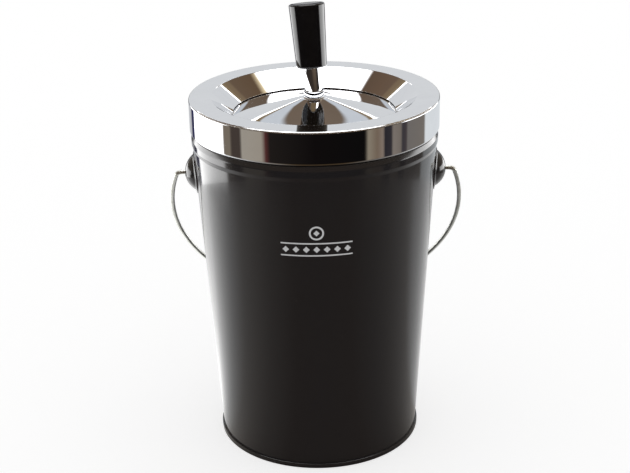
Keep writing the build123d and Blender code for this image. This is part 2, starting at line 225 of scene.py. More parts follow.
print("stops round the room:", len(below), len(cards), len(level), len(cloth), len(gap))

# %% Stack the bands by height
# The tent's bright hem hangs like a curtain: it climbs with the square of the heading from
# straight behind. So the bands near it are placed by a height from which that climb is taken.
heading = add(sky, "Math", {0: look.outputs["X"], 1: look.outputs["Y"]}, operation="ARCTAN2")
square = add(sky, "Math", {0: heading.outputs[0], 1: heading.outputs[0]}, operation="MULTIPLY")
climb = add(sky, "Math", {0: square.outputs[0], 1: 1.0}, operation="MINIMUM")
hung = add(sky, "Math", {0: climb.outputs[0], 1: -0.183, 2: height.outputs[0]}, operation="MULTIPLY_ADD")
over_back = add(sky, "MapRange", {0: look.outputs["Y"], 1: -0.25, 2: -0.05}, interpolation_type="SMOOTHSTEP")
overhead = add(sky, "Mix", {0: over_back.outputs[0], 6: linear("#7A684F"), 7: [LAMP, LAMP, LAMP, 1]},
               data_type="RGBA")
stack = painted(sky, bearing.outputs[0], below)
# Each row says which height to go by, the edge and its softness in degrees, and what lies above.
for by, at, blur, colour in (
    (height, -14, 1.5, painted(sky, bearing.outputs[0], cards)),
    (height, 0, 1.5, painted(sky, bearing.outputs[0], level)),
    (hung, 24, 0.3, [LAMP, LAMP, LAMP, 1]),
    (hung, 25, 0.3, linear("#8C7A60")),
    (hung, 27, 0.6, painted(sky, bearing.outputs[0], cloth)),
    (height, 36, 1.5, painted(sky, bearing.outputs[0], gap)),
    (height, 57, 2, overhead.outputs[2]),
):
    edge = add(sky, "MapRange", {0: by.outputs[0], 1: radians(at - blur), 2: radians(at + blur)},
               interpolation_type="SMOOTHSTEP")
    stack = add(sky, "Mix", {0: edge.outputs[0], 6: stack, 7: colour}, data_type="RGBA").outputs[2]
# Reflections see the painted room. The eye sees white paper, and all else is lit by a soft dome.
DOME = 0.42
rays = add(sky, "LightPath")
room = add(sky, "Background", {"Color": stack, "Strength": 1.0})
dome_light = add(sky, "Math", {0: rays.outputs["Is Camera Ray"], 1: 1 - DOME, 2: DOME},
                 operation="MULTIPLY_ADD")
dome = add(sky, "Background", {"Color": [1, 1, 1, 1], "Strength": dome_light.outputs[0]})
both = add(sky, "MixShader", {0: rays.outputs["Is Glossy Ray"], 1: dome.outputs[0], 2: room.outputs[0]})
add(sky, "OutputWorld", {"Surface": both.outputs[0]})
bpy.context.scene.view_settings.view_transform = "Standard"
print("sky nodes:", len(sky.nodes))

# %% [markdown]
# ## Floor and table
# The floor is a plain pale sheet, lit to almost the white of the background, with a soft shadow
# where the bin stands. Reflections don't see it: they see a small dark table top in its
# place, which keeps the black wall black, and the painted room beyond the table's edge. The table
# top is no lamp but glows: its colour is painted light and shade by bearing, bright to the sides
# and behind, dim and brown in front.

# %% Floor and table
FLOOR_HALF, TABLE_R = 6.0, 0.49


def new_stage(name, bm, tree_of):
    mesh = bpy.data.meshes.new(name)
    bm.to_mesh(mesh)
    bm.free()
    mesh.materials.append(tree_of)
    staged = bpy.data.objects.new(name, mesh)
    bpy.context.scene.collection.objects.link(staged)
    staged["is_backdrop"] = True
    return staged


pale = bpy.data.materials.new("pale_floor")
pale.use_nodes = True
pale_tree = pale.node_tree
pale_tree.nodes.clear()
lit = add(pale_tree, "BsdfDiffuse", {"Color": linear("#F4F4F4")})
glow = add(pale_tree, "Emission", {"Color": [1, 1, 1, 1], "Strength": 0.62})
sheet_sum = add(pale_tree, "AddShader", {0: lit.outputs[0], 1: glow.outputs[0]})
add(pale_tree, "OutputMaterial", {0: sheet_sum.outputs[0]})

dark = bpy.data.materials.new("dark_table")
dark.use_nodes = True
dark_tree = dark.node_tree
dark_tree.nodes.clear()
# painted light and shade on the glowing table top: bright on the window side, brown and dim on the near side
painted_table_light = [
    (-180, "#45434F"), (-165, "#45434F"), (-150, "#FFFFFF", 1.2), (-124, "#FFFFFF", 1.9),
    (-106, "#FFFFFF", 1.4), (-90, "#FFFFFF", 0.85), (-73, "#FFFAF4", 0.47), (-58, "#FFF6EC", 0.33),
    (-43, "#FFF2E4", 0.19), (-20, "#62503A", 0.5), (0, "#62503A", 0.4), (30, "#62503A", 0.5),
    (52, "#FFF2E4", 0.12), (68, "#FFF6EC", 0.2), (85, "#FFFAF4", 0.3), (94, "#FFFAF4", 0.37),
    (104, "#FFFFFF", 0.64), (130, "#FFFFFF", 0.89), (150, "#FFFFFF", 0.9), (165, "#45434F"),
    (180, "#45434F"),
]
spot = add(dark_tree, "SeparateXYZ", {0: add(dark_tree, "TexCoord").outputs["Object"]})
near = add(dark_tree, "Math", {0: spot.outputs["Y"], 1: -1.0}, operation="MULTIPLY")
round_table = add(dark_tree, "Math", {0: spot.outputs["X"], 1: near.outputs[0]}, operation="ARCTAN2")
table_colour = painted(dark_tree, round_table.outputs[0], painted_table_light)
# the table top glows with this painted light and shade, though it is no lamp
dull = add(dark_tree, "Emission", {"Color": table_colour, "Strength": 1.0})
add(dark_tree, "OutputMaterial", {0: dull.outputs[0]})

bm = bmesh.new()
bmesh.ops.create_grid(bm, x_segments=2, y_segments=2, size=FLOOR_HALF)
floor = new_stage("floor", bm, pale)
floor.visible_glossy = False
bm = bmesh.new()
bmesh.ops.create_circle(bm, cap_ends=True, segments=96, radius=TABLE_R)
bmesh.ops.translate(bm, verts=bm.verts, vec=(0, 0, -0.001))
table = new_stage("table", bm, dark)
table.visible_camera = False
table.visible_diffuse = False
table.visible_shadow = False
print("floor and table made")

# %% [markdown]
# ## Finish: stoved gloss enamel
# The bucket and its ears are tinplate, sprayed black and baked. The eye reads a deep black with
# a hard clear gloss, a faint orange peel where the spray flowed together, slow waves of the thin
# sheet under it, and a little dust and wiping that shows only where light grazes it.

# %% Enamel


def grain(size_mm):
    """Noise scale that makes grains of one size, on coordinates in metres."""
    return 1 / (size_mm * MM)


def new_finish(name, **constants):
    """Material with one Principled shader; the constants go on the shader's own sockets."""
    made = bpy.data.materials.new(name)
    made.use_nodes = True
    shader = made.node_tree.nodes["Principled BSDF"]
    for socket, value in constants.items():
        shader.inputs[socket.replace("_", " ")].default_value = value
    place = add(made.node_tree, "TexCoord").outputs["Object"]
    return made, made.node_tree, shader, place


enamel, tree, shader, place = new_finish("stoved_gloss_enamel", IOR=1.52, Coat_Weight=0.35,
                                         Coat_Roughness=0.04)
peel = add(tree, "TexNoise", {"Vector": place, "Scale": grain(2.4), "Detail": 1.0})
waves = add(tree, "TexNoise", {"Vector": place, "Scale": grain(38), "Detail": 1.0})
low_bump = add(tree, "Bump", {"Height": waves.outputs[0], "Distance": 0.06 * MM, "Strength": 1.0})
bump = add(tree, "Bump", {"Height": peel.outputs[0], "Distance": 0.004 * MM, "Strength": 1.0,
                          "Normal": low_bump.outputs[0]})
tree.links.new(bump.outputs[0], shader.inputs["Normal"])
smear = add(tree, "TexNoise", {"Vector": place, "Scale": grain(22), "Detail": 4.0, "Distortion": 0.8})
rough = add(tree, "MapRange", {0: smear.outputs[0], 1: 0.35, 2: 0.7, 3: 0.10, 4: 0.19})
tree.links.new(rough.outputs[0], shader.inputs["Roughness"])
dust = add(tree, "TexNoise", {"Vector": place, "Scale": grain(0.9), "Detail": 2.0})
specks = add(tree, "MapRange", {0: dust.outputs[0], 1: 0.72, 2: 0.78, 3: 0.0, 4: 0.5})
paint = add(tree, "Mix", {0: specks.outputs[0], 6: linear("#222021"), 7: linear("#5A5551")},
            data_type="RGBA")
tree.links.new(paint.outputs[2], shader.inputs["Base Color"])
print("enamel:", len(tree.nodes), "nodes")

# %% [markdown]
# ## Finish: bright chrome plate
# A few thousandths of a millimetre of chromium over polished steel. It mirrors the room with
# a slightly cold cast. Two things keep it from looking like a computer's mirror: the pressed
# sheet is never quite even, which bends the reflected edges, and wiping leaves faint haze.

# %% Chrome
chrome, tree, shader, place = new_finish("bright_chrome_plate", Metallic=1.0)
sheet_wave = add(tree, "TexNoise", {"Vector": place, "Scale": grain(26), "Detail": 0.0})
plating = add(tree, "TexNoise", {"Vector": place, "Scale": grain(1.6), "Detail": 1.0})
low_bump = add(tree, "Bump", {"Height": sheet_wave.outputs[0], "Distance": 0.03 * MM, "Strength": 1.0})
bump = add(tree, "Bump", {"Height": plating.outputs[0], "Distance": 0.0015 * MM, "Strength": 1.0,
                          "Normal": low_bump.outputs[0]})
tree.links.new(bump.outputs[0], shader.inputs["Normal"])
haze = add(tree, "TexNoise", {"Vector": place, "Scale": grain(14), "Detail": 5.0, "Distortion": 1.2})
rough = add(tree, "MapRange", {0: haze.outputs[0], 1: 0.4, 2: 0.75, 3: 0.015, 4: 0.06})
tree.links.new(rough.outputs[0], shader.inputs["Roughness"])
tint = add(tree, "Mix", {0: haze.outputs[0], 6: linear("#F0F1F3"), 7: linear("#E6E7EA")}, data_type="RGBA")
tree.links.new(tint.outputs[2], shader.inputs["Base Color"])
print("chrome:", len(tree.nodes), "nodes")

# %% [markdown]
# ## Finish: zinc plated wire and pressings
# Zinc from a barrel bath is a soft blue-grey metal, brighter where pieces rubbed together and
# duller between. On the wire the drawing die leaves fine marks, and the pressings under the lid
# show a faint patchwork of crystals. Both are rougher than chrome, so they show light, not shapes.

# %% Zinc wire
wire_zinc, tree, shader, place = new_finish("zinc_plated_wire", Metallic=1.0)
rub = add(tree, "TexNoise", {"Vector": place, "Scale": grain(5), "Detail": 5.0})
drawn = add(tree, "TexNoise", {"Vector": place, "Scale": grain(0.35), "Detail": 3.0})
bump = add(tree, "Bump", {"Height": drawn.outputs[0], "Distance": 0.012 * MM, "Strength": 1.0})
tree.links.new(bump.outputs[0], shader.inputs["Normal"])
rough = add(tree, "MapRange", {0: rub.outputs[0], 1: 0.3, 2: 0.7, 3: 0.32, 4: 0.48})
tree.links.new(rough.outputs[0], shader.inputs["Roughness"])
tint = add(tree, "ValToRGB", {0: rub.outputs[0]},
           stops=[(0.35, "#C2C3BC"), (0.7, "#E4E6E2"), (0.5, "#D4D5CF")])
tree.links.new(tint.outputs[0], shader.inputs["Base Color"])
print("zinc wire:", len(tree.nodes), "nodes")

# %% Zinc pressings
zinc, tree, shader, place = new_finish("zinc_plated_steel", Metallic=1.0)
crystal = add(tree, "TexVoronoi", {"Vector": place, "Scale": grain(2.5)})
cloud = add(tree, "TexNoise", {"Vector": place, "Scale": grain(7), "Detail": 5.0})
shade = add(tree, "Math", {0: crystal.outputs["Color"], 1: cloud.outputs[0]}, operation="MULTIPLY")
rough = add(tree, "MapRange", {0: shade.outputs[0], 1: 0.05, 2: 0.5, 3: 0.26, 4: 0.42})
tree.links.new(rough.outputs[0], shader.inputs["Roughness"])
tint = add(tree, "ValToRGB", {0: shade.outputs[0]},
           stops=[(0.05, "#B4B7B9"), (0.6, "#D6D8D6"), (0.3, "#C5C8C6")])
tree.links.new(tint.outputs[0], shader.inputs["Base Color"])
bump = add(tree, "Bump", {"Height": cloud.outputs[0], "Distance": 0.02 * MM, "Strength": 1.0})
tree.links.new(bump.outputs[0], shader.inputs["Normal"])
print("zinc steel:", len(tree.nodes), "nodes")

# %% [markdown]
# ## Finish: spring wire, brass and nylon
# These sit under the lid and show when it is lifted. Spring wire is dark and oiled, turned brass
# has fine rings round its own axis, and natural nylon is milky: light enters it and softens.

# %% Spring wire
spring_wire, tree, shader, place = new_finish("oiled_spring_wire", Metallic=1.0, Coat_Weight=0.3)
oil = add(tree, "TexNoise", {"Vector": place, "Scale": grain(1.2), "Detail": 4.0})
rough = add(tree, "MapRange", {0: oil.outputs[0], 1: 0.3, 2: 0.7, 3: 0.22, 4: 0.4})
tree.links.new(rough.outputs[0], shader.inputs["Roughness"])
tint = add(tree, "ValToRGB", {0: oil.outputs[0]}, stops=[(0.3, "#6F7072"), (0.7, "#9A9B9C")])
tree.links.new(tint.outputs[0], shader.inputs["Base Color"])
print("spring wire:", len(tree.nodes), "nodes")

# %% Turned brass
brass, tree, shader, place = new_finish("turned_brass", Metallic=1.0)
rings = add(tree, "TexWave", {"Vector": place, "Scale": grain(0.5) / 20, "Distortion": 0.4},
            wave_type="RINGS", rings_direction="Z")
bump = add(tree, "Bump", {"Height": rings.outputs["Fac"], "Distance": 0.004 * MM, "Strength": 1.0})
tree.links.new(bump.outputs[0], shader.inputs["Normal"])
tarnish = add(tree, "TexNoise", {"Vector": place, "Scale": grain(3), "Detail": 4.0})
tint = add(tree, "ValToRGB", {0: tarnish.outputs[0]}, stops=[(0.35, "#B98F4A"), (0.7, "#DDBB74")])
tree.links.new(tint.outputs[0], shader.inputs["Base Color"])
rough = add(tree, "MapRange", {0: tarnish.outputs[0], 1: 0.3, 2: 0.7, 3: 0.18, 4: 0.3})
tree.links.new(rough.outputs[0], shader.inputs["Roughness"])
print("brass:", len(tree.nodes), "nodes")

# %% Natural nylon
nylon, tree, shader, place = new_finish("natural_nylon", IOR=1.53, Subsurface_Weight=0.3)
shader.inputs["Subsurface Radius"].default_value = (1.0 * MM, 0.9 * MM, 0.7 * MM)
milk = add(tree, "TexNoise", {"Vector": place, "Scale": grain(2), "Detail": 3.0})
tint = add(tree, "ValToRGB", {0: milk.outputs[0]}, stops=[(0.3, "#DEDACB"), (0.7, "#EFECE2")])
tree.links.new(tint.outputs[0], shader.inputs["Base Color"])
rough = add(tree, "MapRange", {0: milk.outputs[0], 1: 0.3, 2: 0.7, 3: 0.38, 4: 0.5})
tree.links.new(rough.outputs[0], shader.inputs["Roughness"])
print("nylon:", len(tree.nodes), "nodes")

# %% [markdown]
# ## Finish: polished plastic and printing ink
# The knob is phenolic-black plastic from a polished mould: a wet-looking black that keeps a trace
# of flow and of the hands that press it. The printed mark is one thin coat of light ink,
# dull beside the enamel and a little uneven in how well it covers.

# %% Plastic
plastic, tree, shader, place = new_finish("polished_black_plastic", IOR=1.55)
flow = add(tree, "TexNoise", {"Vector": place, "Scale": grain(16), "Detail": 1.0})
bump = add(tree, "Bump", {"Height": flow.outputs[0], "Distance": 0.03 * MM, "Strength": 1.0})
tree.links.new(bump.outputs[0], shader.inputs["Normal"])
touch = add(tree, "TexNoise", {"Vector": place, "Scale": grain(6), "Detail": 5.0, "Distortion": 1.0})
rough = add(tree, "MapRange", {0: touch.outputs[0], 1: 0.4, 2: 0.75, 3: 0.06, 4: 0.17})
tree.links.new(rough.outputs[0], shader.inputs["Roughness"])
tint = add(tree, "Mix", {0: touch.outputs[0], 6: linear("#0B0A0B"), 7: linear("#141213")}, data_type="RGBA")
tree.links.new(tint.outputs[2], shader.inputs["Base Color"])
print("plastic:", len(tree.nodes), "nodes")

# %% Ink
ink, tree, shader, place = new_finish("light_printing_ink", IOR=1.48)
cover = add(tree, "TexNoise", {"Vector": place, "Scale": grain(0.5), "Detail": 3.0})
tint = add(tree, "ValToRGB", {0: cover.outputs[0]}, stops=[(0.25, "#B4B4B5"), (0.5, "#CFCFD0")])
tree.links.new(tint.outputs[0], shader.inputs["Base Color"])
rough = add(tree, "MapRange", {0: cover.outputs[0], 1: 0.3, 2: 0.7, 3: 0.45, 4: 0.6})
tree.links.new(rough.outputs[0], shader.inputs["Roughness"])
print("ink:", len(tree.nodes), "nodes")

# %% [markdown]
# ## Turning a profile
# Nearly every piece of this bin was spun or drawn round one axis. So each is drawn as half of
# its section, as a closed outline in the XZ plane, has its corners rounded while it is still a
# wire, and is then spun once about Z. Rounding the wire is far lighter than rounding the solid.

# %% Outline, round, turn, keep
TURNS = 256


def line(bm, last, *points):
    """Straight edges from the last vertex through points given as (radius, height)."""
    for r, z in points:
        new = bm.verts.new((r, 0, z))
        if last:
            bm.edges.new((last, new))
        last = new
    return last


def arc(bm, last, centre, turn_degrees, steps):
    """Edges along an arc about a (radius, height) centre; plus turns anticlockwise."""
    made = bmesh.ops.spin(bm, geom=[last], cent=(centre[0], 0, centre[1]), axis=(0, -1, 0),
                          angle=radians(turn_degrees), steps=steps, use_duplicate=False)
    return [item for item in made["geom_last"] if isinstance(item, bmesh.types.BMVert)][0]


def round_corner(bm, at, radius, segments=5):
    """Round the outline's corner nearest to a (radius, height) point."""
    corner = min(bm.verts, key=lambda v: hypot(v.co.x - at[0], v.co.z - at[1]))
    arms = [(edge.other_vert(corner).co - corner.co).normalized() for edge in corner.link_edges]
    turned = pi - arms[0].angle(arms[1])
    bmesh.ops.bevel(bm, geom=[corner], offset=radius * tan(turned / 2), offset_type="OFFSET",
                    segments=segments, profile=0.5, affect="VERTICES", material=-1)


def close(bm, last, first):
    bm.edges.new((last, first))


def spin_round(bm, steps=TURNS):
    """Spin the outline a full turn about Z and close it."""
    bmesh.ops.spin(bm, geom=bm.verts[:] + bm.edges[:], cent=(0, 0, 0), axis=(0, 0, 1),
                   angle=tau, steps=steps, use_merge=True)
    bmesh.ops.remove_doubles(bm, verts=bm.verts, dist=1e-4)
    bmesh.ops.recalc_face_normals(bm, faces=bm.faces)


def keep(bm, name, body, finish, nodes=(), sharp=50):
    """Turn a bmesh in millimetres into a finished piece that rides on a body."""
    bmesh.ops.scale(bm, vec=(MM, MM, MM), verts=bm.verts)
    open_edges = sum(1 for edge in bm.edges if not edge.is_manifold)
    mesh = bpy.data.meshes.new(name)
    bm.to_mesh(mesh)
    bm.free()
    mesh.shade_smooth()
    mesh.set_sharp_from_angle(angle=radians(sharp))
    mesh.materials.append(finish)
    piece = bpy.data.objects.new(name, mesh)
    bpy.context.scene.collection.objects.link(piece)
    weighted = piece.modifiers.new("weighted_normals", "WEIGHTED_NORMAL")
    weighted.keep_sharp = True
    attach(piece, body)
    if nodes:
        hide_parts(*nodes)
    print(name, len(mesh.polygons), "faces", open_edges, "open edges")
    return piece


# %% [markdown]
# ## Bucket
# A tapered tube of 0.6 mm tinplate with a rolled band below a neck, and a rim curled outward to
# stiffen it. Its foot is folded over the base in a double seam. The wall's outline goes up the
# outside, round the curl, and down the inside, so the sheet has its real thickness.

# %% Bucket wall
SHEET = 0.6
BAND_H, BAND_OUT, SHOULDER_IN = 10.0, 0.9, 1.3
SEAT_GAP = 0.4
CURL_R, CURL_OUT = 1.2, 0.8
SHOULDER_Z = HEM_Z - SEAT_GAP
WALL_H = SHOULDER_Z - BAND_H
WALL_TOP_R = BAND_R - BAND_OUT
NECK_R = WALL_TOP_R - SHOULDER_IN
RIM_Z = shell_high.z - CURL_R
CURL_C = NECK_R + CURL_OUT - CURL_R
FOOT_R = 66.4
TAPER = (WALL_TOP_R - FOOT_R) / WALL_H


def wall_r(z):
    """Outside radius of the straight wall at a height."""
    return FOOT_R + TAPER * z


band = [(BAND_R - 0.1, WALL_H + 0.25 * BAND_H), (BAND_R, WALL_H + 0.65 * BAND_H)]
bm = bmesh.new()
foot = line(bm, None, (wall_r(SHEET), SHEET))
top = line(bm, foot, (WALL_TOP_R, WALL_H), *band, (WALL_TOP_R, SHOULDER_Z), (NECK_R, SHOULDER_Z),
           (NECK_R, RIM_Z - sqrt(CURL_R ** 2 - (NECK_R - CURL_C) ** 2)))
start = degrees(atan2(top.co.z - RIM_Z, top.co.x - CURL_C))
finish_angle = 180 + degrees(asin(sqrt(1 - ((CURL_C - NECK_R + SHEET) / CURL_R) ** 2)))
top = arc(bm, top, (CURL_C, RIM_Z), finish_angle - start, 28)
inner = line(bm, top, (NECK_R - SHEET, SHOULDER_Z - SHEET), (WALL_TOP_R - SHEET, SHOULDER_Z - SHEET),
             (band[1][0] - SHEET, band[1][1]), (band[0][0] - SHEET, band[0][1]),
             (WALL_TOP_R - SHEET, WALL_H), (wall_r(SHEET) - SHEET, SHEET))
close(bm, inner, foot)
for at, radius in (((WALL_TOP_R, WALL_H), 2.0), (band[0], 1.5), (band[1], 3.0),
                   ((WALL_TOP_R, SHOULDER_Z), 0.8), ((NECK_R, SHOULDER_Z), 0.5),
                   ((WALL_TOP_R - SHEET, WALL_H), 2.0), ((band[0][0] - SHEET, band[0][1]), 1.5),
                   ((band[1][0] - SHEET, band[1][1]), 2.0)):
    round_corner(bm, at, radius, segments=4)
spin_round(bm)
keep(bm, "bucket_wall", "bucket", enamel, ["bucket_shell"])

# %% Bucket base with its seam
RECESS, SEAM_H, SEAM_FOLD = 3.0, 3.2, 1.15
pan_r = wall_r(SHEET) - 2 * SHEET
seam_in = wall_r(SEAM_H)
seam_out = seam_in + SEAM_FOLD
bm = bmesh.new()
middle = line(bm, None, (0, RECESS))
line(bm, middle, (pan_r, RECESS), (pan_r, 0), (seam_out, 0), (seam_out, SEAM_H), (seam_in, SEAM_H),
     (wall_r(SHEET), SHEET), (pan_r + SHEET, SHEET), (pan_r + SHEET, RECESS + SHEET), (0, RECESS + SHEET))
for at, radius in (((pan_r, RECESS), 0.9), ((pan_r, 0), 0.3), ((seam_out, 0), 0.5),
                   ((seam_out, SEAM_H), 0.5), ((pan_r + SHEET, RECESS + SHEET), 1.5)):
    round_corner(bm, at, radius)
spin_round(bm)
keep(bm, "bucket_foot", "bucket", enamel, ["bucket_base"])

# %% [markdown]
# ## Ears
# Two pressed domes with a narrow flange carry the handle. A dome is easy to spin on its own
# axis, but its flange has to lie on a tapered, round wall. So it is spun flat, laid sideways,
# and each point is then moved out by the wall's own curve, less and less towards the top.

# %% Ears
EAR_R, EAR_H, FLANGE_R, EAR_T, HOLE_R = 12.5, EAR_TOP_X - wall_r(PIVOT_Z), 14.0, 0.8, 1.5
ball_r = (EAR_R ** 2 + EAR_H ** 2) / (2 * EAR_H)


def ear(side):
    bm = bmesh.new()
    reach = degrees(asin(EAR_R / ball_r))
    inside = ball_r - EAR_T
    lip_up = degrees(asin(HOLE_R / ball_r))
    first = line(bm, None, (FLANGE_R, 0))
    foot_out = line(bm, first, (FLANGE_R, EAR_T), (EAR_R * 1.03, EAR_T), (ball_r * sin(radians(reach - 5)),
                    EAR_H - ball_r + ball_r * cos(radians(reach - 5))))
    top_out = arc(bm, foot_out, (0, EAR_H - ball_r), reach - 5 - lip_up, 20)
    top_in = line(bm, top_out, (HOLE_R, EAR_H - ball_r + sqrt(inside ** 2 - HOLE_R ** 2)))
    low_in = asin((EAR_R - EAR_T) / inside)
    edge_in = arc(bm, top_in, (0, EAR_H - ball_r), -degrees(low_in - asin(HOLE_R / inside)), 20)
    last = line(bm, edge_in, (EAR_R - EAR_T, 0))
    close(bm, last, first)
    round_corner(bm, (EAR_R * 1.03, EAR_T), 0.7, segments=4)
    round_corner(bm, (FLANGE_R, EAR_T), 0.35, segments=4)
    spin_round(bm, 96)
    bmesh.ops.rotate(bm, verts=bm.verts, cent=(0, 0, 0), matrix=Matrix.Rotation(pi / 2, 3, "Y"))
    for vert in bm.verts:
        z = PIVOT_Z + vert.co.z
        share = max(0.0, 1 - max(0.0, vert.co.x - EAR_T) / (EAR_H - EAR_T))
        curved = sqrt(wall_r(z) ** 2 - vert.co.y ** 2)
        vert.co.x += share * curved + (1 - share) * wall_r(PIVOT_Z)
        vert.co.z = z
    if side < 0:
        bmesh.ops.scale(bm, vec=(-1, 1, 1), verts=bm.verts)
        bmesh.ops.reverse_faces(bm, faces=bm.faces)
    return bm


keep(ear(1), "ear_right", "bucket", enamel, ["right_ear"])
keep(ear(-1), "ear_left", "bucket", enamel, ["left_ear"])

# %% [markdown]
# ## Wire handle
# One length of 2.8 mm wire is bent by hand over a former: a straight end with a flattened head
# inside each ear, a tight corner, a long side and a round bottom. A curve with a bevel would do,
# but spinning the wire's section about the centre of each bend gives true arcs and even rings.

# %% Wire handle
WIRE_R, BEND_R, HEAD_R, HEAD_T, HEAD_GAP = 1.4, 4.5, 2.4, 1.2, 1.2
SIDE_DROP, SIDE_ROOM = 36.0, 11.05
handle_low, handle_high = box_mm("bail_handle")
BAIL_W = EAR_TOP_X + SIDE_ROOM
# the loop hangs in a leaning plane: its length follows from its lowest and its farthest point
hang = PIVOT_Z - handle_low.z - WIRE_R
back = handle_high.y - WIRE_R
BAIL_L = hypot(hang, back)
TILT = atan2(back, hang)
oval_h = BAIL_L - SIDE_DROP
side_r = oval_h ** 2 / BAIL_W
side_c = Vector((BAIL_W - side_r, 0, -SIDE_DROP))
low_r = (side_r ** 2 - oval_h ** 2 - side_c.x ** 2) / (2 * (side_r - oval_h))
low_c = Vector((0, 0, low_r - BAIL_L))
bend_c = Vector((side_c.x + sqrt((side_r - BEND_R) ** 2 - (SIDE_DROP - BEND_R) ** 2), 0, -BEND_R))
angle_top = atan2(bend_c.z - side_c.z, bend_c.x - side_c.x)
angle_low = atan2(low_c.z - side_c.z, low_c.x - side_c.x)
head_x = wall_r(PIVOT_Z) + HEAD_GAP


def bend(bm, ring, centre, from_angle, to_angle, steps):
    """Carry the wire's end ring round a centre; the new end ring comes back."""
    made = bmesh.ops.spin(bm, geom=ring, cent=centre, axis=(0, -1, 0), angle=to_angle - from_angle,
                          steps=steps, use_duplicate=False)
    return made["geom_last"]


bm = bmesh.new()
wire_x = head_x + HEAD_T / 2
bmesh.ops.create_circle(bm, cap_ends=True, segments=24, radius=WIRE_R,
                        matrix=Matrix.Translation((wire_x, 0, 0)) @ Matrix.Rotation(pi / 2, 4, "Y"))
made = bmesh.ops.extrude_edge_only(bm, edges=bm.edges[:])["geom"]
moved = [item for item in made if isinstance(item, bmesh.types.BMVert)]
bmesh.ops.translate(bm, verts=moved, vec=(bend_c.x - wire_x, 0, 0))
ring = moved + [item for item in made if isinstance(item, bmesh.types.BMEdge)]
ring = bend(bm, ring, bend_c, pi / 2, angle_top, 14)
ring = bend(bm, ring, side_c, angle_top, angle_low, 48)
ring = bend(bm, ring, low_c, angle_low, -pi / 2, 40)
bmesh.ops.create_cone(bm, cap_ends=True, segments=24, radius1=HEAD_R, radius2=HEAD_R, depth=HEAD_T,
                      matrix=Matrix.Translation((wire_x, 0, 0)) @ Matrix.Rotation(pi / 2, 4, "Y"))
bmesh.ops.mirror(bm, geom=bm.verts[:] + bm.edges[:] + bm.faces[:], matrix=Matrix.Identity(4),
                 merge_dist=1e-3, axis="X")
bmesh.ops.remove_doubles(bm, verts=bm.verts, dist=1e-4)
bmesh.ops.recalc_face_normals(bm, faces=bm.faces)
bmesh.ops.rotate(bm, verts=bm.verts, cent=(0, 0, 0), matrix=Matrix.Rotation(TILT, 3, "X"))
bmesh.ops.translate(bm, verts=bm.verts, vec=(0, 0, PIVOT_Z))
keep(bm, "wire_handle", "handle", wire_zinc, ["bail_handle"])
print("handle loop", round(BAIL_L, 1), "tilt", round(degrees(TILT), 1))

# %% [markdown]
# ## Lid
# One pressing: a flat ring, a funnel inside it, and a skirt outside it that ends in a hem folded
# inward. The outline runs along the top side, round the hem, and back under.

# %% Lid
RING_W, FUNNEL_W, FUNNEL_D = 14.2, 13.8, 11.0
HEM_W, HEM_H, HEM_ROUND, EDGE_ROUND = 1.6, 3.4, 1.5, 1.2
FUNNEL_R = LID_R - RING_W
DISH_R = FUNNEL_R - FUNNEL_W
LIP_Z = TOP_Z - FUNNEL_D
slope = atan2(FUNNEL_D, FUNNEL_W)
under_r = FUNNEL_R + SHEET * (1 / cos(slope) - 1) / tan(slope)
bm = bmesh.new()
lip = line(bm, None, (DISH_R, LIP_Z))
last = line(bm, lip, (FUNNEL_R, TOP_Z), (LID_R, TOP_Z), (LID_R, HEM_Z), (LID_R - HEM_W, HEM_Z),
            (LID_R - HEM_W, HEM_Z + HEM_H), (LID_R - SHEET, HEM_Z + HEM_H), (LID_R - SHEET, TOP_Z - SHEET),
            (under_r, TOP_Z - SHEET), (DISH_R + SHEET * sin(slope), LIP_Z - SHEET * cos(slope)))
close(bm, last, lip)
for at, radius in (((FUNNEL_R, TOP_Z), 1.0), ((LID_R, TOP_Z), EDGE_ROUND), ((LID_R, HEM_Z), HEM_ROUND),
                   ((LID_R - HEM_W, HEM_Z + HEM_H), 0.4), ((LID_R - SHEET, TOP_Z - SHEET), 0.6),
                   ((under_r, TOP_Z - SHEET), 1.6), ((DISH_R, LIP_Z), 0.2)):
    round_corner(bm, at, radius, segments=6)
spin_round(bm)
keep(bm, "lid_pressing", "lid", chrome, ["lid_shell"])

# %% [markdown]
# ## Plate, collar and stem
# The spinning plate is a shallow cone, steeper near its flat hub, and the collar that holds the stem stands
# on it. The stem is loose in its collar and leans, so it is drawn upright and leaned at the end.

# %% Spinner plate
PLATE_T, HUB_LEDGE, FLARE_R, FLARE_BEND = 0.5, 1.5, 30.0, 220.0
RISE, SLOPE = radians(16.0), radians(9.5)
COLLAR_R, COLLAR_TOP = collar_high.x, collar_high.z
SPIGOT_R = 4.6
HUB_FLAT_R = COLLAR_R + HUB_LEDGE
flare_z = HUB_Z - (FLARE_R - HUB_FLAT_R) * tan(RISE)
plate_rim_z = flare_z - (PLATE_R - FLARE_R) * tan(SLOPE)
halfway = (RISE + SLOPE) / 2
mitre = PLATE_T / cos((RISE - SLOPE) / 2)
under_hub = (HUB_FLAT_R - PLATE_T * tan(RISE / 2), HUB_Z - PLATE_T)
under_flare = (FLARE_R - mitre * sin(halfway), flare_z - mitre * cos(halfway))
bm = bmesh.new()
first = line(bm, None, (SPIGOT_R, HUB_Z))
last = line(bm, first, (HUB_FLAT_R, HUB_Z), (FLARE_R, flare_z), (PLATE_R, plate_rim_z),
            (PLATE_R - PLATE_T * sin(SLOPE), plate_rim_z - PLATE_T * cos(SLOPE)),
            under_flare, under_hub, (SPIGOT_R, HUB_Z - PLATE_T))
close(bm, last, first)
for at, radius, segments in (((HUB_FLAT_R, HUB_Z), 4.0, 6), (under_hub, 4.0 - PLATE_T, 6),
                             ((FLARE_R, flare_z), FLARE_BEND, 32), (under_flare, FLARE_BEND, 32)):
    round_corner(bm, at, radius, segments)
spin_round(bm)
keep(bm, "plate_disc", "spinner", chrome, ["spinner_plate"])

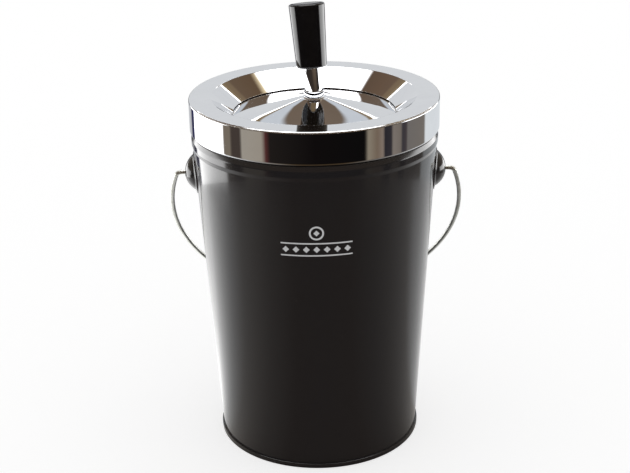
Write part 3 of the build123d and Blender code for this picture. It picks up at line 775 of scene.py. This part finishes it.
# %% Hub collar
COLLAR_T, COLLAR_FLOOR, BORE_R, FOOT_GAP = 0.50, 1.0, 3.42, 0.9
collar_bore = COLLAR_R - COLLAR_T
bm = bmesh.new()
first = line(bm, None, (BORE_R, collar_low.z))
last = line(bm, first, (SPIGOT_R, collar_low.z), (SPIGOT_R, HUB_Z), (COLLAR_R, HUB_Z),
            (COLLAR_R, COLLAR_TOP), (collar_bore, COLLAR_TOP),
            (collar_bore, HUB_Z + COLLAR_FLOOR), (BORE_R, HUB_Z + COLLAR_FLOOR))
close(bm, last, first)
round_corner(bm, (COLLAR_R, COLLAR_TOP), 0.3)
spin_round(bm, 128)
keep(bm, "collar_ring", "spinner", chrome, ["hub_collar"])

# %% Stem tube and knob
STEM_Z = HUB_Z + COLLAR_FLOOR + FOOT_GAP
LEAN, LEAN_TO = radians(8.4), radians(63.0)
TUBE_R, TUBE_T, KNOB_LIFT, KNOB_IN, KNOB_L = 5.5, 1.0, 17.1, 10.0, 40.0
KNOB_LOW_R, KNOB_TOP_R, KNOB_EDGE, KNOB_DISH = 9.7, 11.35, 1.0, 0.5
tube_top = KNOB_LIFT + KNOB_IN
knob_top = KNOB_LIFT + KNOB_L


def lean(bm):
    """Stand a piece drawn from z = 0 on the stem's foot, leaning in its play."""
    axis = Vector((sin(LEAN_TO), cos(LEAN_TO), 0))
    bmesh.ops.rotate(bm, verts=bm.verts, cent=(0, 0, 0), matrix=Matrix.Rotation(-LEAN, 3, axis))
    bmesh.ops.translate(bm, verts=bm.verts, vec=(0, 0, STEM_Z))
    return bm


bm = bmesh.new()
first = line(bm, None, (TUBE_R - TUBE_T, 0))
last = line(bm, first, (TUBE_R, 0), (TUBE_R, tube_top), (TUBE_R - TUBE_T, tube_top))
close(bm, last, first)
round_corner(bm, (TUBE_R, 0), 0.2)
spin_round(bm, 128)
keep(lean(bm), "stem_pipe", "stem", chrome, ["stem_tube"])

dish_r = KNOB_TOP_R - 2 * KNOB_EDGE
dish_ball = (dish_r ** 2 + KNOB_DISH ** 2) / (2 * KNOB_DISH)
bm = bmesh.new()
first = line(bm, None, (0, tube_top))
last = line(bm, first, (TUBE_R, tube_top), (TUBE_R, KNOB_LIFT), (KNOB_LOW_R, KNOB_LIFT),
            (KNOB_TOP_R, knob_top), (dish_r, knob_top))
arc(bm, last, (0, knob_top - KNOB_DISH + dish_ball), -degrees(asin(dish_r / dish_ball)), 8)
round_corner(bm, (KNOB_LOW_R, KNOB_LIFT), KNOB_EDGE, segments=6)
round_corner(bm, (KNOB_TOP_R, knob_top), KNOB_EDGE, segments=6)
spin_round(bm, 128)
keep(lean(bm), "knob_grip", "stem", plastic, ["knob"])

# %% [markdown]
# ## Printed mark
# The front carries a small printed mark. This one is a plain ornament: a row of lozenges between
# two rules, with a roundel above. It is drawn flat, cut into strips, and wrapped on the wall,
# a few hundredths of a millimetre proud, as ink is.

# %% Printed mark
MARK_W, MARK_Z, RULE_H, ROW_H = 44.5, 159.0, 0.9, 9.0
LOZENGES, LOZENGE_R = 7, 2.1
HOOP_IN, HOOP_OUT, HOOP_LIFT, CHARM_R = 3.5, 4.6, 6.5, 1.9
INK_T = 0.05
bm = bmesh.new()


def flat_grid(across, up, centre_x, centre_z):
    """Rectangle on the XZ plane, cut into strips so that it can follow the wall."""
    strips = max(2, round(across / 1.5))
    made = bmesh.ops.create_grid(bm, x_segments=strips, y_segments=1, size=0.5)["verts"]
    bmesh.ops.scale(bm, vec=(across, up, 1), verts=made)
    bmesh.ops.rotate(bm, verts=made, cent=(0, 0, 0), matrix=Matrix.Rotation(pi / 2, 3, "X"))
    bmesh.ops.translate(bm, verts=made, vec=(centre_x, 0, centre_z))


for end in (1, -1):
    flat_grid(MARK_W, RULE_H, 0, MARK_Z + end * (ROW_H - RULE_H) / 2)
for i in range(LOZENGES):
    made = bmesh.ops.create_circle(bm, cap_ends=True, segments=4, radius=LOZENGE_R)["verts"]
    bmesh.ops.rotate(bm, verts=made, cent=(0, 0, 0), matrix=Matrix.Rotation(pi / 2, 3, "X"))
    bmesh.ops.translate(bm, verts=made, vec=((i - (LOZENGES - 1) / 2) * MARK_W / LOZENGES, 0, MARK_Z))
ring_z = MARK_Z + ROW_H / 2 + HOOP_LIFT
hoop = [bm.verts.new((r, 0, ring_z)) for r in (HOOP_IN, HOOP_OUT)]
arm = bm.edges.new(hoop)
bmesh.ops.spin(bm, geom=[*hoop, arm], cent=(0, 0, ring_z), axis=(0, 1, 0), angle=tau, steps=48,
               use_merge=True)
made = bmesh.ops.create_circle(bm, cap_ends=True, segments=4, radius=CHARM_R)["verts"]
bmesh.ops.rotate(bm, verts=made, cent=(0, 0, 0), matrix=Matrix.Rotation(pi / 2, 3, "X"))
bmesh.ops.translate(bm, verts=made, vec=(0, 0, ring_z))
bmesh.ops.remove_doubles(bm, verts=bm.verts, dist=1e-3)
for vert in bm.verts:
    radius = wall_r(vert.co.z) + INK_T
    around = vert.co.x / radius
    vert.co.x, vert.co.y = radius * sin(around), -radius * cos(around)
bm.normal_update()
inward = [face for face in bm.faces
          if face.normal.dot(face.calc_center_median() * Vector((1, 1, 0))) < 0]
bmesh.ops.reverse_faces(bm, faces=inward)
bmesh.ops.solidify(bm, geom=bm.faces[:], thickness=INK_T * 1.6)
keep(bm, "printed_mark", "bucket", ink)

# %% [markdown]
# ## Works under the lid
# The bridge, spindle, spring, nut and washers keep their CAD meshes, whose shape is right. They
# only take the finish that their material slot names.

# %% Finishes for the CAD nodes
finishes = {
    "black_enamel": enamel, "chrome_plate": chrome, "zinc_wire": wire_zinc, "zinc_steel": zinc,
    "spring_steel": spring_wire, "brass": brass, "white_nylon": nylon, "black_plastic": plastic,
}
for part in frame["record"]["subparts"]:
    node = frame["nodes"][part["node"]]
    node.data.materials.clear()
    node.data.materials.append(finishes[part["material_slot"]])
print(len(frame["nodes"]), "CAD nodes have their finish")

# %% Boxes
new_low, new_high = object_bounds()
grown = (new_high - new_low) - (cad_high - cad_low)
print("grown by, in mm:", [round(size / MM, 2) for size in grown])
